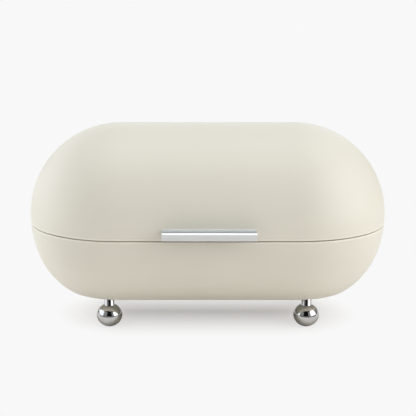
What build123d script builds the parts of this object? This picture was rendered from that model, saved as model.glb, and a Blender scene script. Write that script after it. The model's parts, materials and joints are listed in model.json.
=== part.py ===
from build123d import *
import math
import os

# Bread box: a capsule of pressed steel on four ball feet, with a lid hinged at the back.
# X runs along the length, -Y is the front and +Z is up. Sizes are in millimetres and degrees.
# The origin is on the table, in the middle of the overall length and depth.

# Body form
BODY_LENGTH = 425.0
LID_RADIUS = 108.8
SIDE_RADIUS = 133.0
SIDE_TURN = 20.0
CORNER_RADIUS = 92.0
BOTTOM_FILLET = 10.0
BASE_DEPTH = 81.7
SEAM_DROP = 8.3

# Sheet and rims
LID_SHEET = 0.8
BASE_SHEET = 1.0
HEM_HEIGHT = 4.0
RIM_GAP = 0.4
SHOULDER_RADIUS = 2.0
LIP_HEIGHT = 5.0
LIP_HEM = 3.4
LIP_CLEARANCE = 0.7
SEAT_GAP = 0.05

# Vents in the back of the base
VENT_COUNT = 9
VENT_RADIUS = 1.75
VENT_PITCH = 12.0
VENT_DROP = 36.0

# Feet, each past the end of the straight run and inside the edge of the flat floor
BALL_RADIUS = 15.0
BALL_HEIGHT = 27.5
BALL_UNDERCUT = 0.4
NECK_RADIUS = 6.25
NECK_LENGTH = 8.96
FOOT_PAST = 12.5
FLOOR_MARGIN = 0.6
PAD_RADIUS = 3.2
PAD_RECESS = 1.0
FOOT_SCREW_RADIUS = 2.5
FOOT_SCREW_GRIP = 9.0
FOOT_HEAD_RADIUS = 4.75
FOOT_HEAD_HEIGHT = 2.8
FOOT_WASHER_RADIUS = 7.5
FOOT_WASHER_SHEET = 1.2
TAPPED_CLEARANCE = 0.05
SHANK_CLEARANCE = 0.2
SCREW_TIP_ROOM = 1.0
SOCKET_SHARE = 0.4

# Handle
HANDLE_LENGTH = 105.0
HANDLE_DEPTH = 19.7
HANDLE_RISE = 5.9
HANDLE_HEIGHT = 8.9
UPSTAND_SHEET = 2.0
LEDGE_DROP = 1.2
LEDGE_SHEET = 1.6
LIP_SHEET = 3.2
FLANGE_SHEET = 5.0
LIP_ROUND = 2.2
CHANNEL_ROUND = 1.5
HANDLE_EDGE = 0.5
HANDLE_SCREW_PITCH = 70.0
HANDLE_SCREW_RISE = 2.0
HANDLE_SCREW_RADIUS = 1.5
HANDLE_SCREW_GRIP = 3.6
HANDLE_HEAD_RADIUS = 2.8
HANDLE_HEAD_HEIGHT = 2.0
HANDLE_WASHER_RADIUS = 3.5
HANDLE_WASHER_SHEET = 0.5
CURVE_GAP = 0.12

# Hinges
HINGE_X = 70.0
HINGE_WIDTH = 50.0
LEAF_SHEET = 1.2
LEAF_HEIGHT = 22.0
LEAF_CORNER = 4.0
KNUCKLE_COUNT = 5
KNUCKLE_GAP = 0.3
KNUCKLE_CLEARANCE = 0.35
PIN_RADIUS = 1.5
PIN_CLEARANCE = 0.05
PIN_HEAD_RADIUS = 2.4
PIN_HEAD_LENGTH = 1.0
RIVET_RADIUS = 1.6
RIVET_HEAD_RADIUS = 3.1
RIVET_HEAD_HEIGHT = 1.1
RIVET_TAIL_RADIUS = 2.6
RIVET_TAIL_HEIGHT = 0.9
RIVET_DOME_SHARE = 0.9
RIVET_PITCH = 30.0
RIVET_LINE = 13.0
OPEN_ANGLE = 72.0
STOP_LENGTH = 7.5
STOP_GAP = 0.25

# Holes are cut this far either side of a sheet's outer face, and other cuts this far past a face
CUT_REACH = 4.0
OVERCUT = 1.0

# Heights and centres that follow from the sizes above
STRAIGHT = BODY_LENGTH - 2 * LID_RADIUS
BALL_TOP = BALL_HEIGHT / 2 * math.sqrt(1 - (NECK_RADIUS / BALL_RADIUS) ** 2)
BALL_TOP_Z = BALL_HEIGHT / 2 + BALL_TOP
BOTTOM_Z = BALL_TOP_Z + NECK_LENGTH
SEAM_Z = BOTTOM_Z + BASE_DEPTH
LID_AXIS_Z = SEAM_Z + SEAM_DROP
LEDGE_Z = SEAM_Z - RIM_GAP / 2
LIP_TOP_Z = LEDGE_Z + LIP_HEIGHT

# Centres of the three arcs of the base, as distance from the middle plane and height
SIDE_CENTRE = Vector(LID_RADIUS - SIDE_RADIUS, LID_AXIS_Z)
TURN = math.radians(SIDE_TURN)
CORNER_CENTRE = SIDE_CENTRE + Vector(math.cos(TURN), -math.sin(TURN)) * (SIDE_RADIUS - CORNER_RADIUS)
FILLET_RISE = BOTTOM_Z + BOTTOM_FILLET - CORNER_CENTRE.Y
FILLET_REACH = math.sqrt((CORNER_RADIUS - BOTTOM_FILLET) ** 2 - FILLET_RISE**2)
FILLET_CENTRE = CORNER_CENTRE + Vector(FILLET_REACH, FILLET_RISE)
FILLET_TURN = math.degrees(math.atan2(FILLET_RISE, FILLET_REACH))

# Hinge axis, and the stop that meets the base leaf when the lid is open
KNUCKLE_RADIUS = PIN_RADIUS + PIN_CLEARANCE + LEAF_SHEET
LEAF_WIDTH = HINGE_WIDTH - KNUCKLE_GAP
SEAM_REACH = math.sqrt(LID_RADIUS**2 - SEAM_DROP**2)
HINGE_Y = SEAM_REACH + KNUCKLE_CLEARANCE + KNUCKLE_RADIUS
NOTCH_RADIUS = KNUCKLE_RADIUS + KNUCKLE_CLEARANCE
LEAF_REACH = SIDE_CENTRE.X + math.sqrt(
    (SIDE_RADIUS + SEAT_GAP + LEAF_SHEET) ** 2 - (SEAM_DROP + NOTCH_RADIUS) ** 2
)
STOP_INNER = LEAF_REACH + STOP_GAP - HINGE_Y
STOP_OUTER = STOP_INNER + LEAF_SHEET
OPEN_TURN = math.radians(OPEN_ANGLE)
STOP_REACH = STOP_OUTER * math.cos(OPEN_TURN) + STOP_LENGTH * math.sin(OPEN_TURN)
HINGE_BACK = HINGE_Y + max(STOP_REACH, KNUCKLE_RADIUS)
FRONT_REACH = LID_RADIUS + HANDLE_DEPTH

# The body's middle plane, seen from the origin
MIDDLE_Y = (FRONT_REACH - HINGE_BACK) / 2

FOOT_REACH = FILLET_CENTRE.X - FOOT_WASHER_RADIUS - FLOOR_MARGIN
FOOT_X = STRAIGHT / 2 + FOOT_PAST
FOOT_Y = math.sqrt(FOOT_REACH**2 - FOOT_PAST**2)
FEET = {
    "front_left": (-FOOT_X, -FOOT_Y),
    "front_right": (FOOT_X, -FOOT_Y),
    "back_left": (-FOOT_X, FOOT_Y),
    "back_right": (FOOT_X, FOOT_Y),
}
HINGES = {"left": -HINGE_X, "right": HINGE_X}
UPWARD = (Align.CENTER, Align.CENTER, Align.MIN)


def round_corner(face, corner, radius):
    return fillet(face.vertices().sort_by_distance(corner)[0], radius)


def on_circle(centre, radius, angle):
    return centre + Vector(math.cos(math.radians(angle)), math.sin(math.radians(angle))) * radius


def arc(centre, radius, start, end):
    return CenterArc((centre.X, centre.Y), radius, start, end - start)


def angle_at(centre, radius, height):
    return math.degrees(math.asin((height - centre.Y) / radius))


# A half section drawn as distance from the middle and height, run round the capsule's plan
def around_plan(section):
    half = Rot(Z=-90) * (Plane.XZ * section)
    turned = revolve(half, Axis.Z, 180)
    run = extrude(half, STRAIGHT / 2, dir=(1, 0, 0), both=True)
    right = Pos(X=STRAIGHT / 2) * turned
    left = Pos(X=-STRAIGHT / 2) * mirror(turned, Plane.YZ)
    return right + left + run + mirror(run, Plane.XZ)


# The lid's sheet, folded inward into a hem along the rim
def lid_section():
    centre = Vector(0, LID_AXIS_Z)
    inner = LID_RADIUS - LID_SHEET
    hem = inner - LID_SHEET
    rim = angle_at(centre, inner, SEAM_Z + RIM_GAP / 2 + LID_SHEET)
    hem_top = rim + math.degrees(HEM_HEIGHT / hem)
    outer_end = on_circle(centre, LID_RADIUS, rim)
    hem_end = on_circle(centre, hem, rim)
    fold = on_circle(on_circle(centre, inner, rim), LID_SHEET, rim - 90)
    path = [
        arc(centre, LID_RADIUS, 90, rim),
        ThreePointArc(outer_end, fold, hem_end),
        arc(centre, hem, rim, hem_top),
        Line(on_circle(centre, hem, hem_top), on_circle(centre, inner, hem_top)),
        arc(centre, inner, hem_top, 90),
        Line(on_circle(centre, inner, 90), on_circle(centre, LID_RADIUS, 90)),
    ]
    return make_face(Wire(path))


# Side, corner and floor of the base at one depth inside its outer surface
def base_curve(depth, top):
    side = angle_at(SIDE_CENTRE, SIDE_RADIUS - depth, top)
    return [
        Line((0, BOTTOM_Z + depth), (FILLET_CENTRE.X, BOTTOM_Z + depth)),
        arc(FILLET_CENTRE, BOTTOM_FILLET - depth, -90, FILLET_TURN),
        arc(CORNER_CENTRE, CORNER_RADIUS - depth, FILLET_TURN, -SIDE_TURN),
        arc(SIDE_CENTRE, SIDE_RADIUS - depth, -SIDE_TURN, side),
    ]


# The base's sheet steps inward at the seam and stands up as a hemmed lip inside the lid
def base_section():
    lip = SEAM_REACH - 2 * LID_SHEET - LIP_CLEARANCE
    lip_inner = lip - BASE_SHEET
    lip_hem = lip_inner - BASE_SHEET
    outer = base_curve(0, LEDGE_Z)
    inner = base_curve(BASE_SHEET, LEDGE_Z - BASE_SHEET)
    round_z = LIP_TOP_Z - BASE_SHEET
    hem_z = LIP_TOP_Z - LIP_HEM
    rim = [
        Line(outer[-1] @ 1, (lip, LEDGE_Z)),
        Line((lip, LEDGE_Z), (lip, round_z)),
        ThreePointArc((lip, round_z), (lip_inner, LIP_TOP_Z), (lip_hem, round_z)),
        Line((lip_hem, round_z), (lip_hem, hem_z)),
        Line((lip_hem, hem_z), (lip_inner, hem_z)),
        Line((lip_inner, hem_z), (lip_inner, LEDGE_Z - BASE_SHEET)),
        Line((lip_inner, LEDGE_Z - BASE_SHEET), inner[-1] @ 1),
    ]
    middle = Line((0, BOTTOM_Z), (0, BOTTOM_Z + BASE_SHEET))
    face = make_face(Wire(outer + rim + inner + [middle]))
    face = round_corner(face, outer[-1] @ 1, SHOULDER_RADIUS)
    return round_corner(face, inner[-1] @ 1, SHOULDER_RADIUS - BASE_SHEET)


# A point on the lid or base, with Y turned to point straight out of the sheet
def on_back(centre, radius, height):
    angle = angle_at(centre, radius, height)
    spot = on_circle(centre, radius, angle)
    return Pos(0, spot.X, spot.Y) * Rot(X=angle)


def lid_back(height):
    return on_back(Vector(0, LID_AXIS_Z), LID_RADIUS, height)


def lid_front(height):
    return Rot(Z=180) * lid_back(height)


def base_back(height):
    return on_back(SIDE_CENTRE, SIDE_RADIUS, height)


# A round bar along Y from one distance to another
def bar(radius, start, end):
    return Pos(Y=end) * Rot(X=90) * Cylinder(radius, end - start, align=UPWARD)


# A round bar along Z from one height to another
def post(radius, bottom, top):
    return Pos(Z=bottom) * Cylinder(radius, top - bottom, align=UPWARD)


def rivet_spots(place, height):
    sides = (-RIVET_PITCH / 2, RIVET_PITCH / 2)
    return [Pos(X=x + side) * place(height) for x in HINGES.values() for side in sides]


def handle_spots():
    place = lid_front(LID_AXIS_Z + HANDLE_SCREW_RISE)
    return [Pos(X=side) * place for side in (-HANDLE_SCREW_PITCH / 2, HANDLE_SCREW_PITCH / 2)]


def rivet_holes(place, height):
    hole = bar(RIVET_RADIUS + TAPPED_CLEARANCE, -CUT_REACH, CUT_REACH)
    return [spot * hole for spot in rivet_spots(place, height)]


def lid_shell():
    shell = around_plan(lid_section())
    screw_hole = bar(HANDLE_SCREW_RADIUS + SHANK_CLEARANCE, -CUT_REACH, CUT_REACH)
    cuts = rivet_holes(lid_back, SEAM_Z + RIVET_LINE)
    cuts += [spot * screw_hole for spot in handle_spots()]
    return shell - cuts


def base_shell():
    shell = around_plan(base_section())
    vent = base_back(SEAM_Z - VENT_DROP) * bar(VENT_RADIUS, -CUT_REACH, CUT_REACH)
    first = -(VENT_COUNT - 1) / 2 * VENT_PITCH
    cuts = rivet_holes(base_back, SEAM_Z - RIVET_LINE)
    cuts += [Pos(X=first + i * VENT_PITCH) * vent for i in range(VENT_COUNT)]
    foot_hole = post(FOOT_SCREW_RADIUS + SHANK_CLEARANCE, BOTTOM_Z - CUT_REACH, BOTTOM_Z + CUT_REACH)
    cuts += [Pos(x, y) * foot_hole for x, y in FEET.values()]
    return shell - cuts


# Ledge pull: a flange and a low upstand against the lid, a sunken ledge, and a lip for the fingers
def handle():
    top = LID_AXIS_Z + HANDLE_RISE
    ledge = top - LEDGE_DROP
    bottom = top - HANDLE_HEIGHT
    seat = LID_RADIUS + SEAT_GAP
    flange = seat + FLANGE_SHEET
    upstand = seat + UPSTAND_SHEET
    front = FRONT_REACH
    lip = front - LIP_SHEET
    lid = Pos(0, LID_AXIS_Z) * Circle(seat)
    depth = 2 * HANDLE_DEPTH
    block = Pos(front - depth / 2, (top + bottom) / 2) * Rectangle(depth, top - bottom)
    channel = Polyline(
        (flange, bottom - OVERCUT),
        (flange, ledge - LEDGE_SHEET),
        (lip, ledge - LEDGE_SHEET),
        (lip, bottom - OVERCUT),
        close=True,
    )
    step = Polyline(
        (upstand, ledge),
        (lip, ledge),
        (lip, top + OVERCUT),
        (upstand, top + OVERCUT),
        close=True,
    )
    section = block - lid - make_face(channel) - make_face(step)
    section = round_corner(section, (front, top), LIP_ROUND)
    edges = [(lip, top), (lip, ledge), (upstand, ledge), (upstand, top)]
    edges += [(front, bottom), (lip, bottom), (flange, bottom)]
    for corner in edges:
        section = round_corner(section, corner, HANDLE_EDGE)
    for corner in ((lip, ledge - LEDGE_SHEET), (flange, ledge - LEDGE_SHEET)):
        section = round_corner(section, corner, CHANNEL_ROUND)
    run = extrude(Rot(Z=-90) * (Plane.XZ * section), HANDLE_LENGTH / 2, dir=(1, 0, 0), both=True)
    tapped = bar(HANDLE_SCREW_RADIUS + TAPPED_CLEARANCE, -LID_SHEET, HANDLE_SCREW_GRIP + SCREW_TIP_ROOM / 2)
    return run - [spot * tapped for spot in handle_spots()]


# A pan-head screw along -Y from its seat, with a hexagon socket in the head
def screw(radius, length, head_radius, head_height):
    shank = bar(radius, 0, length)
    head = bar(head_radius, -head_height, 0)
    rim = head.edges().group_by(Axis.Y)[0]
    head = fillet(rim, head_height * SOCKET_SHARE)
    socket = RegularPolygon(head_radius * SOCKET_SHARE, 6)
    deep = extrude(Plane.XZ * socket, head_height, both=True)
    return shank + (head - Pos(Y=-head_height - head_height * SOCKET_SHARE) * deep)


def handle_screws():
    seat = LID_SHEET + CURVE_GAP + HANDLE_WASHER_SHEET
    one = Pos(Y=-seat) * screw(
        HANDLE_SCREW_RADIUS, seat + HANDLE_SCREW_GRIP, HANDLE_HEAD_RADIUS, HANDLE_HEAD_HEIGHT
    )
    return [spot * one for spot in handle_spots()]


def handle_washers():
    face = -LID_SHEET - CURVE_GAP
    disc = bar(HANDLE_WASHER_RADIUS, face - HANDLE_WASHER_SHEET, face)
    disc -= bar(HANDLE_SCREW_RADIUS + SHANK_CLEARANCE, face - CUT_REACH, face + CUT_REACH)
    return [spot * disc for spot in handle_spots()]


# Section of a rolled leaf that lies on the sheet, between two distances from the hinge axis
def leaf_section(centre, radius, start, end):
    outer = Pos(centre.X, centre.Y) * Circle(radius + SEAT_GAP + LEAF_SHEET)
    inner = Pos(centre.X, centre.Y) * Circle(radius + SEAT_GAP)
    height = abs(end - start)
    window = Pos(HINGE_Y, SEAM_Z + (start + end) / 2) * Rectangle(4 * LEAF_HEIGHT, height)
    return (outer - inner) & window


# A lug on a lid knuckle that lands on the base leaf at the open angle
def stop_section():
    lug = Pos((STOP_INNER + STOP_OUTER) / 2, -STOP_LENGTH / 2) * Rectangle(LEAF_SHEET, STOP_LENGTH)
    return Pos(HINGE_Y, SEAM_Z) * Rot(Z=OPEN_ANGLE) * lug


# A section drawn as distance back and height, run along the length about one place
def run_along(section, width, x=0):
    return Pos(X=x) * extrude(Rot(Z=90) * (Plane.XZ * section), width / 2, dir=(1, 0, 0), both=True)


# Even knuckles belong to the base leaf and odd ones to the lid leaf
def hinge_leaf(odd, centre, radius, place):
    direction = 1 if odd else -1
    pitch = HINGE_WIDTH / KNUCKLE_COUNT
    outline = Pos(0, direction * LEAF_HEIGHT / 2) * Rectangle(LEAF_WIDTH, LEAF_HEIGHT)
    outline = fillet(outline.vertices().sort_by(Axis.Y, reverse=direction > 0)[:2], LEAF_CORNER)
    trim = Pos(0, HINGE_Y, SEAM_Z) * extrude(Plane.XZ * outline, 2 * LEAF_HEIGHT, both=True)
    plate = leaf_section(centre, radius, direction * NOTCH_RADIUS, 2 * direction * LEAF_HEIGHT)
    leaf = run_along(plate, 2 * HINGE_WIDTH) & trim
    axis = Pos(HINGE_Y, SEAM_Z)
    knuckle = leaf_section(centre, radius, 0, 2 * direction * NOTCH_RADIUS) + axis * Circle(KNUCKLE_RADIUS)
    if odd:
        knuckle += stop_section()
    knuckle -= axis * Circle(PIN_RADIUS + PIN_CLEARANCE)
    for i in range(odd, KNUCKLE_COUNT, 2):
        leaf += run_along(knuckle, pitch - KNUCKLE_GAP, (i + 0.5) * pitch - HINGE_WIDTH / 2)
    hole = bar(RIVET_RADIUS + TAPPED_CLEARANCE, -CUT_REACH, CUT_REACH)
    height = SEAM_Z + direction * RIVET_LINE
    return leaf - [Pos(X=side) * place(height) * hole for side in (-RIVET_PITCH / 2, RIVET_PITCH / 2)]


def hinge_leaf_base():
    return hinge_leaf(0, SIDE_CENTRE, SIDE_RADIUS, base_back)


def hinge_leaf_lid():
    return hinge_leaf(1, Vector(0, LID_AXIS_Z), LID_RADIUS, lid_back)


def hinge_pin():
    half = LEAF_WIDTH / 2
    shank = Cylinder(PIN_RADIUS, 2 * half)
    head = Cylinder(PIN_HEAD_RADIUS, PIN_HEAD_LENGTH, align=UPWARD)
    head = fillet(head.edges().group_by(Axis.Z)[-1], PIN_HEAD_LENGTH / 2)
    ends = Pos(Z=half) * head + Pos(Z=-half) * Rot(X=180) * head
    return Pos(0, HINGE_Y, SEAM_Z) * Rot(Y=90) * (shank + ends)


# Domed head on the leaf, shank through leaf and sheet, and the tail spread inside
def rivet(sheet):
    seat = SEAT_GAP + LEAF_SHEET
    tail = -sheet - CURVE_GAP
    head = bar(RIVET_HEAD_RADIUS, seat, seat + RIVET_HEAD_HEIGHT)
    head = fillet(head.edges().group_by(Axis.Y)[-1], RIVET_HEAD_HEIGHT * RIVET_DOME_SHARE)
    spread = bar(RIVET_TAIL_RADIUS, tail - RIVET_TAIL_HEIGHT, tail)
    return head + bar(RIVET_RADIUS, tail, seat) + spread


# A slightly flattened ball, cut flat where the neck sits and underneath, turned about its own axis
def foot_ball():
    height = BALL_TOP_Z - BALL_UNDERCUT
    window = Pos(BALL_RADIUS, BALL_UNDERCUT + height / 2) * Rectangle(2 * BALL_RADIUS, height)
    outline = Pos(0, BALL_HEIGHT / 2) * Ellipse(BALL_RADIUS, BALL_HEIGHT / 2) & window
    ball = revolve(Plane.XZ * outline, Axis.Z, 360)
    tapped_floor = BALL_TOP_Z - FOOT_SCREW_GRIP - SCREW_TIP_ROOM
    tapped = post(FOOT_SCREW_RADIUS + TAPPED_CLEARANCE, tapped_floor, BALL_TOP_Z + OVERCUT)
    recess = post(PAD_RADIUS + TAPPED_CLEARANCE, 0, BALL_UNDERCUT + PAD_RECESS)
    return ball - tapped - recess


def foot_neck():
    neck = post(NECK_RADIUS, BALL_TOP_Z, BOTTOM_Z)
    return neck - post(FOOT_SCREW_RADIUS + SHANK_CLEARANCE, BALL_TOP_Z - OVERCUT, BOTTOM_Z + OVERCUT)


def foot_pad():
    pad = post(PAD_RADIUS, 0, BALL_UNDERCUT + PAD_RECESS)
    return chamfer(pad.edges().group_by(Axis.Z)[0], BALL_UNDERCUT / 4)


def foot_screw():
    seat = BOTTOM_Z + BASE_SHEET + FOOT_WASHER_SHEET
    length = seat - BALL_TOP_Z + FOOT_SCREW_GRIP
    one = screw(FOOT_SCREW_RADIUS, length, FOOT_HEAD_RADIUS, FOOT_HEAD_HEIGHT)
    return Pos(Z=seat) * Rot(X=-90) * one


def foot_washer():
    low = BOTTOM_Z + BASE_SHEET
    disc = post(FOOT_WASHER_RADIUS, low, low + FOOT_WASHER_SHEET)
    return disc - post(FOOT_SCREW_RADIUS + SHANK_CLEARANCE, low - CUT_REACH, low + CUT_REACH)


def save(name, shape):
    solids = shape if isinstance(shape, list) else [shape]
    placed = [Pos(Y=MIDDLE_Y) * one for one in solids]
    whole = placed[0] if len(placed) == 1 else Compound(children=placed)
    export_step(whole, "parts/" + name + ".step")


os.makedirs("parts", exist_ok=True)
save("base_shell", base_shell())
save("lid_shell", lid_shell())
save("handle", handle())
save("handle_screws", handle_screws())
save("handle_washers", handle_washers())

base_leaf = hinge_leaf_base()
lid_leaf = hinge_leaf_lid()
pin = hinge_pin()
for side, x in HINGES.items():
    save("hinge_leaf_base_" + side, Pos(X=x) * base_leaf)
    save("hinge_leaf_lid_" + side, Pos(X=x) * lid_leaf)
    save("hinge_pin_" + side, Pos(X=x) * pin)
base_spots = rivet_spots(base_back, SEAM_Z - RIVET_LINE)
lid_spots = rivet_spots(lid_back, SEAM_Z + RIVET_LINE)
save("hinge_rivets_base", [spot * rivet(BASE_SHEET) for spot in base_spots])
save("hinge_rivets_lid", [spot * rivet(LID_SHEET) for spot in lid_spots])

for corner, (x, y) in FEET.items():
    save("foot_ball_" + corner, Pos(x, y) * foot_ball())
    save("foot_neck_" + corner, Pos(x, y) * foot_neck())
    save("foot_pad_" + corner, Pos(x, y) * foot_pad())
save("foot_screws", [Pos(x, y) * foot_screw() for x, y in FEET.values()])
save("foot_washers", [Pos(x, y) * foot_washer() for x, y in FEET.values()])

print("middle plane y", round(MIDDLE_Y, 3), "foot", round(FOOT_X, 3), round(FOOT_Y, 3))
print("hinge axis y", round(MIDDLE_Y + HINGE_Y, 3), "z", round(SEAM_Z, 3))
print("front", round(MIDDLE_Y - FRONT_REACH, 3), "back", round(MIDDLE_Y + HINGE_BACK, 3))
print("height", round(LID_AXIS_Z + LID_RADIUS, 3), "floor half depth", round(FILLET_CENTRE.X, 3))
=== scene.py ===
import json
import math

import bpy
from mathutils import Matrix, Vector

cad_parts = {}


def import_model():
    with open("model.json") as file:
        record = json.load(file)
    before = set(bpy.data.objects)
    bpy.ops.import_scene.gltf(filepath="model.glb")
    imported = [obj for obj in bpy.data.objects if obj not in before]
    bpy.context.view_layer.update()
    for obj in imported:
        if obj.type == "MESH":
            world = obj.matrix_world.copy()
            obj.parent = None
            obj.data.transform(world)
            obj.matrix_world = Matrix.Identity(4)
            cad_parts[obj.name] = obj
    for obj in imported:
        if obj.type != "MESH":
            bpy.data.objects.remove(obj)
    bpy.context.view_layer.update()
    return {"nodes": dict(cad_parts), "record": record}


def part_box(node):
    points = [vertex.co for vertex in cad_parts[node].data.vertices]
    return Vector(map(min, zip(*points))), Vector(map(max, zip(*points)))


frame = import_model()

NODES = frame["nodes"]
SLOTS = {entry["node"]: entry["material_slot"] for entry in frame["record"]["subparts"]}

# Lengths are in metres, except where a comment says otherwise.

# Places that follow from the frame
LID_LOW, LID_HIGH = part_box("lid_shell")
MIDDLE_Y = (LID_LOW.y + LID_HIGH.y) / 2
CENTRE = Vector((0.0, MIDDLE_Y, (LID_LOW.z + LID_HIGH.z) / 2))

# Camera: distance in front of the body's middle, height over the floor, offset to the side and
# downward aim in radians, then the lens and the sensor in millimetres. The last three are in
# pixels: the picture's side, the column of the body's middle, and how far the object is
# lowered in the picture.
CAMERA_DISTANCE = 1.300
CAMERA_HEIGHT = 0.4253
CAMERA_SIDE = -0.024
CAMERA_PITCH = 0.2235
CAMERA_LENS = 95.55
SENSOR = 36.0
IMAGE_SIDE = 416
BODY_CENTRE_PIXEL = 207.43
IMAGE_DROP = 0.8

# Backdrop and floor: their tones, then half the length of the line under the body from which the
# shadow spreads, and how far it spreads. On that line painted shade leaves the floor UNDER_SHARE of
# its tone for light that bounces, and SHADOW_SHARE of what the view shows is the shaded floor.
BACKDROP = (0.939, 0.939, 0.939, 1.0)
FLOOR_SIDE = 40.0
FLOOR_TINT = (1.04, 0.995, 0.95)
FLOOR_TONE = 0.86
SHADOW_RUN = 0.095
SHADOW_REACH = 0.090
UNDER_SHARE = 0.52
SHADOW_SHARE = 0.66

# The floor in reflections: its tone, how strongly it glows and where the glow sets in, then the
# dark ring, how soft its two edges are, and where it fades out towards the back
MIRRORED_TONE = 0.72
MIRRORED_GLOW = 0.50
GLOW_START = (0.066, 0.082)
DARK_RING = (0.165, 0.405)
RING_SOFTNESS = (0.008, 0.020)
FRONT_EDGE = (-0.066, -0.040)
DARK_TONE = (0.01, 0.01, 0.01, 1.0)

# The studio in reflections: dark below the first of these heights and grey above the second,
# both as the sine of the angle over the horizon. SKY is the even light on everything else.
STUDIO_RISE = (0.05, 0.12)
STUDIO_DARK = (0.02, 0.02, 0.02, 1.0)
STUDIO_GREY = (0.30, 0.30, 0.30, 1.0)
SKY = (0.501, 0.492, 0.474, 1.0)

# Seam: its height, how far from it the brown line of painted shade fades out, and the paler rims of
# painted highlight beyond that
SEAM_Z = LID_LOW.z - 0.0002
SEAM_SPAN = (0.0003, 0.0009)
SEAM_SHADE_TONE = (0.54, 0.47, 0.34, 1.0)
RIM_SPANS = ((0.0007, 0.0012), (0.0019, 0.0027))
RIM_HIGHLIGHT_TONE = (0.85, 0.83, 0.74, 1.0)

# Handle: the back of its lip, the softness of that edge, the ledge behind it, where painted shade is
# darkest at the lip and fades towards the lid, and the upstand at the lid, which is free of it again
LIP_DEPTH = 0.0032
LIP_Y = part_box("handle")[0].y + LIP_DEPTH
LIP_SPAN = (LIP_Y - 0.0004, LIP_Y)
LEDGE_SPAN = (LIP_Y, LIP_Y + 0.0220)
UPSTAND_SPAN = (LIP_Y + 0.0152, LIP_Y + 0.0158)
LEDGE_SHADE_TONE = (0.125, 0.14, 0.15, 1.0)

# How far the necks' reflections lean upward, as a share of the surface normal
NECK_LEAN = 0.27

# Base colours: a darker and a lighter tone each, which a fine noise blends
CREAM = ((0.750, 0.728, 0.634, 1.0), (0.770, 0.748, 0.654, 1.0))
ALUMINIUM = ((0.89, 0.92, 0.925, 1.0), (0.94, 0.97, 0.975, 1.0))
PLATE = ((0.63, 0.63, 0.62, 1.0), (0.67, 0.67, 0.66, 1.0))
STEEL = ((0.52, 0.52, 0.51, 1.0), (0.64, 0.64, 0.63, 1.0))
ZINC = ((0.60, 0.61, 0.63, 1.0), (0.72, 0.73, 0.74, 1.0))
BLACK = ((0.012, 0.012, 0.012, 1.0), (0.022, 0.022, 0.022, 1.0))

# Cards that only reflections see: a dark one beside the camera, and a bright one over the front
# for the gleam along the handle's lip
CARDS = [
    dict(name="dark_card", place=(-0.07, -1.35, 0.80), size=(1.10, 1.55), pitch=90, strength=0.0),
    dict(name="gleam_card", place=(0.0, -0.94, 1.38), size=(1.6, 0.45), pitch=33, strength=4.9,
         receiver="handle"),
]

# Softboxes, with their power in watts
COOL = (0.915, 0.95, 1.0)
SIDE_COOL = (0.89, 0.93, 1.0)
SOFTBOXES = [
    dict(name="top_light", place=CENTRE + Vector((0.03, 0.10, 1.45)), facing=(0, 0, -1),
         size=(2.2, 1.7), watts=11.4, tint=COOL),
    dict(name="key_light", place=(1.20, -0.70, 0.80), facing=(-1, 0, 0),
         size=(1.4, 1.4), watts=12.6, tint=(0.975, 0.98, 1.0)),
    dict(name="fill_light", place=(-0.60, -0.13, 0.25), facing=(1, 0, 0),
         size=(0.47, 0.44), watts=0.79, tint=SIDE_COOL),
    dict(name="side_light", place=(-0.60, 0.25, 0.35), facing=(0.9, -0.3, -0.2),
         size=(0.47, 0.44), watts=0.70, tint=SIDE_COOL),
    dict(name="back_light", place=(0.0, 1.10, 0.60), facing=(0, -0.9, -0.4),
         size=(1.6, 0.7), watts=2.6, tint=COOL),
]


class Nodes:
    """Short calls that add nodes to a node tree."""

    def __init__(self, tree):
        self.tree = tree

    def add(self, kind, **values):
        node = self.tree.nodes.new(kind)
        for key, value in values.items():
            setattr(node, key, value)
        return node

    def link(self, start, end):
        self.tree.links.new(start, end)

    def feed(self, sockets, values):
        """Gives each socket its value, which is a constant or another node's output."""
        for socket, value in zip(sockets, values):
            if isinstance(value, (int, float, tuple)):
                socket.default_value = value
            else:
                self.link(value, socket)

    def maths(self, operation, *values):
        node = self.add("ShaderNodeMath", operation=operation)
        self.feed(node.inputs, values)
        return node.outputs[0]

    def split(self, vector):
        node = self.add("ShaderNodeSeparateXYZ")
        self.link(vector, node.inputs[0])
        return node.outputs

    def spread(self, source, low, high, span=(0.3, 0.7), smooth=False):
        """The source as it crosses the span, turned into a value from low to high."""
        node = self.add("ShaderNodeMapRange")
        if smooth:
            node.interpolation_type = "SMOOTHSTEP"
        node.inputs["From Min"].default_value = span[0]
        node.inputs["From Max"].default_value = span[1]
        node.inputs["To Min"].default_value = low
        node.inputs["To Max"].default_value = high
        self.link(source, node.inputs["Value"])
        return node.outputs["Result"]

    def between(self, share, first, second):
        node = self.add("ShaderNodeMix")
        self.feed((node.inputs[0], node.inputs[2], node.inputs[3]), (share, first, second))
        return node.outputs[0]

    def tones(self, share, first, second):
        node = self.add("ShaderNodeMix", data_type="RGBA")
        self.feed((node.inputs[0], node.inputs[6], node.inputs[7]), (share, first, second))
        return node.outputs[2]

    def glow(self, colour):
        node = self.add("ShaderNodeEmission")
        node.inputs["Color"].default_value = colour
        return node

    def mix(self, share, first, second):
        node = self.add("ShaderNodeMixShader")
        self.feed(node.inputs, (share, first.outputs[0], second.outputs[0]))
        return node


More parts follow.
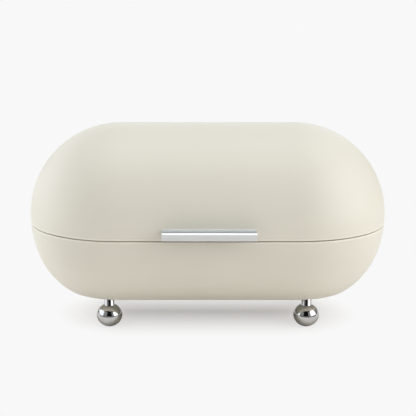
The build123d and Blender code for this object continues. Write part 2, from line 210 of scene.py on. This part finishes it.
class Shader(Nodes):
    """A material with its node tree, laid out in the piece's own metres."""

    def __init__(self, name):
        self.material = bpy.data.materials.new(name)
        self.material.use_nodes = True
        super().__init__(self.material.node_tree)
        self.inputs = self.tree.nodes["Principled BSDF"].inputs
        self.place = self.add("ShaderNodeTexCoord").outputs["Object"]

    def noise(self, scale, detail=2.0, roughness=0.5, stretch=(1.0, 1.0, 1.0)):
        mapping = self.add("ShaderNodeMapping")
        mapping.inputs["Scale"].default_value = stretch
        self.link(self.place, mapping.inputs["Vector"])
        node = self.add("ShaderNodeTexNoise")
        node.inputs["Scale"].default_value = scale
        node.inputs["Detail"].default_value = detail
        node.inputs["Roughness"].default_value = roughness
        self.link(mapping.outputs["Vector"], node.inputs["Vector"])
        return node.outputs["Fac"]

    def brushed(self, stretch):
        """Noise drawn out into lines along X."""
        return self.noise(scale=1.0, detail=4.0, roughness=0.6, stretch=stretch)

    def blend(self, source, pair):
        return self.tones(self.spread(source, 0.0, 1.0), *pair)

    def bump(self, source, height, below=None):
        node = self.add("ShaderNodeBump")
        node.inputs["Strength"].default_value = 1.0
        node.inputs["Distance"].default_value = height
        self.link(source, node.inputs["Height"])
        if below is not None:
            self.link(below, node.inputs["Normal"])
        return node.outputs["Normal"]

    def coat(self, colour, roughness, normal, metallic=0.0):
        names = ("Base Color", "Roughness", "Normal", "Metallic")
        self.feed([self.inputs[name] for name in names], (colour, roughness, normal, metallic))
        return self.material


# Cream powder coat: satin, with the fine orange peel and faint cloudiness of baked powder,
# a painted highlight as a paler edge on the two rims, and a browner line of painted shade in the seam
def powder_coat():
    s = Shader("powder_coat")
    cloudy = s.blend(s.noise(scale=9.0, detail=3.0), CREAM)
    rise = s.maths("ABSOLUTE", s.maths("SUBTRACT", s.split(s.place)["Z"], SEAM_Z))
    inner, outer = RIM_SPANS
    # Painted highlight: a paler band on each rim, a little way above and below the seam
    rim_highlight = s.maths("MULTIPLY", s.spread(rise, 0.0, 1.0, inner), s.spread(rise, 1.0, 0.0, outer))
    highlighted = s.tones(rim_highlight, cloudy, RIM_HIGHLIGHT_TONE)
    # Painted shade: a browner, darker line along the seam itself
    seam_shaded = s.tones(s.spread(rise, 1.0, 0.0, SEAM_SPAN), highlighted, SEAM_SHADE_TONE)
    satin = s.spread(s.noise(scale=45.0, detail=3.0), 0.40, 0.48)
    peel = s.bump(s.noise(scale=520.0), height=0.00002)
    grain = s.bump(s.noise(scale=2400.0, detail=1.0), height=0.000006, below=peel)
    return s.coat(seam_shaded, satin, grain)


# Aluminium extrusion, brushed along its length, with painted shade on the sunken ledge behind the lip
def brushed_aluminium():
    s = Shader("brushed_aluminium")
    lines = s.brushed(stretch=(18.0, 3800.0, 3800.0))
    depth = s.split(s.place)["Y"]
    # Painted shade on the ledge behind the lip, lifting towards the lid, and none on the upstand
    slope = s.spread(depth, 0.0, 1.0, LEDGE_SPAN)
    shade_lifted = s.maths("MAXIMUM", slope, s.spread(depth, 0.0, 1.0, UPSTAND_SPAN))
    behind_lip = s.spread(depth, 0.0, 1.0, LIP_SPAN)
    ledge_shade = s.maths("MULTIPLY", s.maths("SUBTRACT", 1.0, shade_lifted), behind_lip)
    colour = s.tones(ledge_shade, s.blend(lines, ALUMINIUM), LEDGE_SHADE_TONE)
    roughness = s.spread(lines, 0.44, 0.54)
    return s.coat(colour, roughness, s.bump(lines, height=0.000004), metallic=0.5)


# Polished plate with the faintest handling haze, with a roughness from low to high
def polished(s, low, high, normal):
    colour = s.blend(s.noise(scale=60.0), PLATE)
    roughness = s.spread(s.noise(scale=120.0, detail=3.0), low, high)
    return s.coat(colour, roughness, normal, metallic=1.0)


def chrome():
    s = Shader("chrome")
    return polished(s, low=0.03, high=0.07, normal=s.bump(s.noise(scale=180.0), height=0.000004))


# The same plate on the necks, whose turned face leans its reflections up into the studio
def neck_chrome():
    s = Shader("neck_chrome")
    lean = s.add("ShaderNodeVectorMath", operation="ADD")
    s.feed(lean.inputs, (s.bump(s.noise(scale=180.0), height=0.000004), (0.0, 0.0, NECK_LEAN)))
    whole = s.add("ShaderNodeVectorMath", operation="NORMALIZE")
    s.link(lean.outputs[0], whole.inputs[0])
    return polished(s, low=0.05, high=0.09, normal=whole.outputs[0])


# Stainless hinge strip, brushed along the knuckles
def hinge_steel():
    s = Shader("hinge_steel")
    lines = s.brushed(stretch=(30.0, 3000.0, 3000.0))
    roughness = s.spread(lines, 0.28, 0.42)
    return s.coat(s.blend(lines, STEEL), roughness, s.bump(lines, height=0.000006), metallic=1.0)


# Bright zinc plate on screws, washers and rivets
def zinc_steel():
    s = Shader("zinc_steel")
    spangle = s.noise(scale=700.0, detail=3.0)
    roughness = s.spread(spangle, 0.22, 0.34)
    return s.coat(s.blend(spangle, ZINC), roughness, s.bump(spangle, height=0.000008), metallic=1.0)


def rubber():
    s = Shader("rubber")
    colour = s.blend(s.noise(scale=300.0, detail=3.0), BLACK)
    roughness = s.spread(s.noise(scale=900.0), 0.7, 0.85)
    return s.coat(colour, roughness, s.bump(s.noise(scale=1500.0), height=0.00001))


MATERIALS = {
    "powder_coat": powder_coat(),
    "brushed_aluminium": brushed_aluminium(),
    "chrome": chrome(),
    "neck_chrome": neck_chrome(),
    "hinge_steel": hinge_steel(),
    "zinc_steel": zinc_steel(),
    "rubber": rubber(),
}


def dress(obj, slot):
    obj.data.materials.clear()
    obj.data.materials.append(MATERIALS[slot])
    for polygon in obj.data.polygons:
        polygon.material_index = 0


# Each piece wears the material of its slot, but the necks have a plate of their own.
for name, obj in NODES.items():
    dress(obj, "neck_chrome" if name.startswith("foot_neck") else SLOTS[name])


# Pale table: it takes the shadow close under the object and is plain backdrop further out.
# Light that bounces off it, and reflections, meet a floor darkened by painted shade under the object.
# Reflections also see it glow from a little way out, and in front of the object they see a dark ring on
# it.
def floor_material():
    s = Shader("studio_floor")
    path = s.add("ShaderNodeLightPath")
    viewed, mirrored = path.outputs["Is Camera Ray"], path.outputs["Is Glossy Ray"]
    place = s.split(s.place)
    past = s.maths("SUBTRACT", s.maths("ABSOLUTE", place["X"]), SHADOW_RUN)
    past = s.maths("MAXIMUM", past, 0.0)
    aside = s.maths("SUBTRACT", place["Y"], MIDDLE_Y)
    squares = s.maths("ADD", s.maths("POWER", past, 2.0), s.maths("MULTIPLY", aside, aside))
    away = s.maths("SQRT", squares)

    # Painted shade: under the object the floor is darker for light that bounces and for reflections
    shade_under = s.spread(away, UNDER_SHARE, 1.0, (0.0, SHADOW_REACH))
    bounce = s.maths("MULTIPLY", shade_under, s.between(mirrored, FLOOR_TONE, MIRRORED_TONE))
    tint = s.add("ShaderNodeVectorMath", operation="SCALE")
    tint.inputs[0].default_value = FLOOR_TINT
    s.link(s.between(viewed, bounce, FLOOR_TONE), tint.inputs["Scale"])
    diffuse = s.add("ShaderNodeBsdfDiffuse")
    s.link(tint.outputs[0], diffuse.inputs["Color"])

    plain = s.spread(away, 1.0 - SHADOW_SHARE, 1.0, (0.0, SHADOW_REACH))
    outer_glow = s.spread(away, 0.0, MIRRORED_GLOW, GLOW_START, smooth=True)
    glowing = s.maths("ADD", s.maths("MULTIPLY", plain, viewed), s.maths("MULTIPLY", mirrored, outer_glow))
    seen = s.mix(glowing, diffuse, s.glow(BACKDROP))

    spans = [(edge - soft, edge + soft) for edge, soft in zip(DARK_RING, RING_SOFTNESS)]
    near = s.spread(away, 0.0, 1.0, spans[0], smooth=True)
    far = s.spread(away, 1.0, 0.0, spans[1], smooth=True)
    front = s.maths("MULTIPLY", mirrored, s.spread(place["Y"], 1.0, 0.0, FRONT_EDGE, smooth=True))
    ring = s.maths("MULTIPLY", s.maths("MULTIPLY", near, far), front)
    ended = s.mix(ring, seen, s.glow(DARK_TONE))
    s.link(ended.outputs[0], s.tree.nodes["Material Output"].inputs["Surface"])
    return s.material


def floor():
    bpy.ops.mesh.primitive_plane_add(size=FLOOR_SIDE, location=(0, 0, 0))
    obj = bpy.context.object
    obj.name = "studio_floor"
    obj.data.materials.append(floor_material())


# The pitch is in degrees. A card with a receiver shines on that piece alone, and is black to all
# the others.
def card(name, place, size, pitch, strength, receiver=None):
    bpy.ops.mesh.primitive_plane_add(size=1.0, location=place, rotation=(math.radians(pitch), 0, 0))
    obj = bpy.context.object
    obj.name = name
    obj.scale = (*size, 1.0)
    s = Shader(name)
    s.inputs["Base Color"].default_value = DARK_TONE
    s.inputs["Roughness"].default_value = 1.0
    s.inputs["Specular IOR Level"].default_value = 0.0
    s.inputs["Emission Color"].default_value = (1.0, 1.0, 1.0, 1.0)
    s.inputs["Emission Strength"].default_value = strength
    obj.data.materials.append(s.material)
    obj.visible_camera = False
    obj.visible_diffuse = False
    obj.visible_shadow = False
    if receiver is not None:
        lit = bpy.data.collections.new(name + "_receivers")
        lit.objects.link(NODES[receiver])
        obj.light_linking.receiver_collection = lit


def softbox(name, place, facing, size, watts, tint):
    data = bpy.data.lights.new(name, "AREA")
    data.shape = "RECTANGLE"
    data.size, data.size_y = size
    data.energy = watts
    data.color = tint
    lamp = bpy.data.objects.new(name, data)
    bpy.context.scene.collection.objects.link(lamp)
    lamp.location = place
    lamp.rotation_euler = (-Vector(facing)).to_track_quat("Z", "Y").to_euler()


# World: the camera sees the plain backdrop, reflections a grey studio that is dark near the floor,
# and everything else is lit by an even sky
def world():
    sky = bpy.data.worlds.new("studio")
    sky.use_nodes = True
    n = Nodes(sky.node_tree)
    even = n.tree.nodes["Background"]
    even.inputs["Color"].default_value = SKY
    studio = n.add("ShaderNodeBackground")
    height = n.split(n.add("ShaderNodeTexCoord").outputs["Generated"])["Z"]
    rise = n.spread(height, 0.0, 1.0, STUDIO_RISE, smooth=True)
    n.link(n.tones(rise, STUDIO_DARK, STUDIO_GREY), studio.inputs["Color"])
    backdrop = n.add("ShaderNodeBackground")
    backdrop.inputs["Color"].default_value = BACKDROP
    path = n.add("ShaderNodeLightPath")
    lit = n.mix(path.outputs["Is Glossy Ray"], even, studio)
    seen = n.mix(path.outputs["Is Camera Ray"], lit, backdrop)
    n.link(seen.outputs[0], n.tree.nodes["World Output"].inputs["Surface"])
    bpy.context.scene.world = sky


def camera():
    data = bpy.data.cameras.new("camera")
    data.sensor_width = SENSOR
    data.lens = CAMERA_LENS
    obj = bpy.data.objects.new("camera", data)
    bpy.context.scene.collection.objects.link(obj)
    obj.location = (CAMERA_SIDE, MIDDLE_Y - CAMERA_DISTANCE, CAMERA_HEIGHT)
    obj.rotation_euler = (math.radians(90) - CAMERA_PITCH, 0, 0)
    depth = CAMERA_DISTANCE / math.cos(CAMERA_PITCH)
    wanted = (IMAGE_SIDE / 2 - BODY_CENTRE_PIXEL) / IMAGE_SIDE
    data.shift_x = wanted - CAMERA_SIDE / depth * CAMERA_LENS / SENSOR
    data.shift_y = IMAGE_DROP / IMAGE_SIDE
    bpy.context.scene.camera = obj


floor()
for settings in CARDS:
    card(**settings)
world()
for settings in SOFTBOXES:
    softbox(**settings)
camera()

bpy.context.scene.view_settings.view_transform = "Standard"
